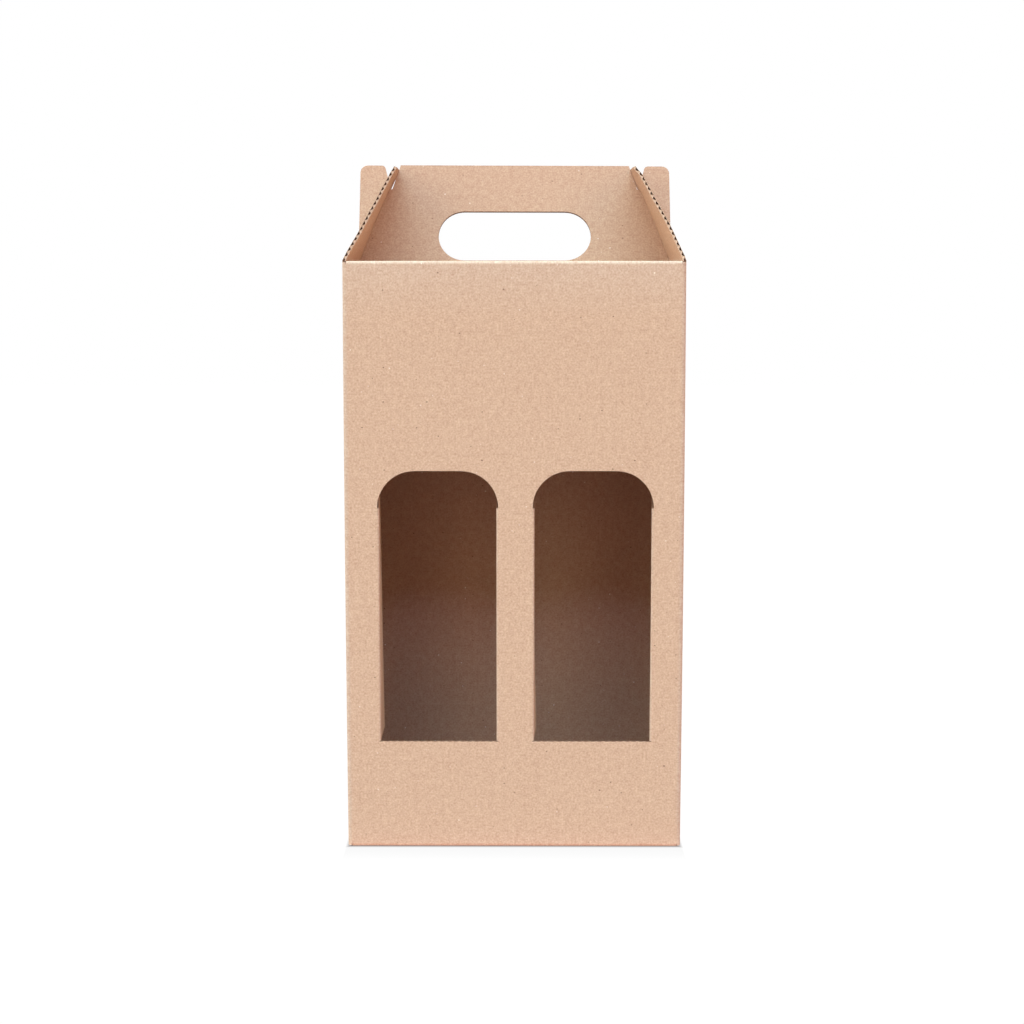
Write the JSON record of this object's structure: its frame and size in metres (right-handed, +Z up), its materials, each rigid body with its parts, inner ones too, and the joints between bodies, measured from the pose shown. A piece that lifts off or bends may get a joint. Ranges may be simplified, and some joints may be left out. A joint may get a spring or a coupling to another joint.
{
  "type": "two bottle carrier box",
  "caption": "Tall corrugated carton for bottles with a leaning hand hole panel, leaning top gussets and arched front windows whose cut flaps fold inward.",
  "frame": {"origin": "on the floor at the middle of the four walls' footprint", "axes": "+Z up the box, +Y from the windowed front to the handle side, +X to the right seen from the front"},
  "size_m": [0.176, 0.1137, 0.3644],
  "materials": {
    "kraft_board": "matte"
  },
  "bodies": {
    "carton": {"folded_carton": "kraft_board"},
    "left_outer_flap": {"left_window_outer_flap": "kraft_board"},
    "left_inner_flap": {"left_window_inner_flap": "kraft_board"},
    "right_inner_flap": {"right_window_inner_flap": "kraft_board"},
    "right_outer_flap": {"right_window_outer_flap": "kraft_board"}
  },
  "joints": [
    {"name": "left_window_outer_crease", "type": "hinge", "parent": "carton", "child": "left_outer_flap", "pos_m": [-0.0707, -0.0424, 0.128], "axis": [0, 0, 1], "range_deg": [-92, 22]},
    {"name": "left_window_inner_crease", "type": "hinge", "parent": "carton", "child": "left_inner_flap", "pos_m": [-0.0085, -0.0424, 0.128], "axis": [0, 0, -1], "range_deg": [-90, 12]},
    {"name": "right_window_inner_crease", "type": "hinge", "parent": "carton", "child": "right_inner_flap", "pos_m": [0.0097, -0.0424, 0.128], "axis": [0, 0, 1], "range_deg": [-90, 12]},
    {"name": "right_window_outer_crease", "type": "hinge", "parent": "carton", "child": "right_outer_flap", "pos_m": [0.0719, -0.0424, 0.128], "axis": [0, 0, -1], "range_deg": [-94, 20]}
  ]
}
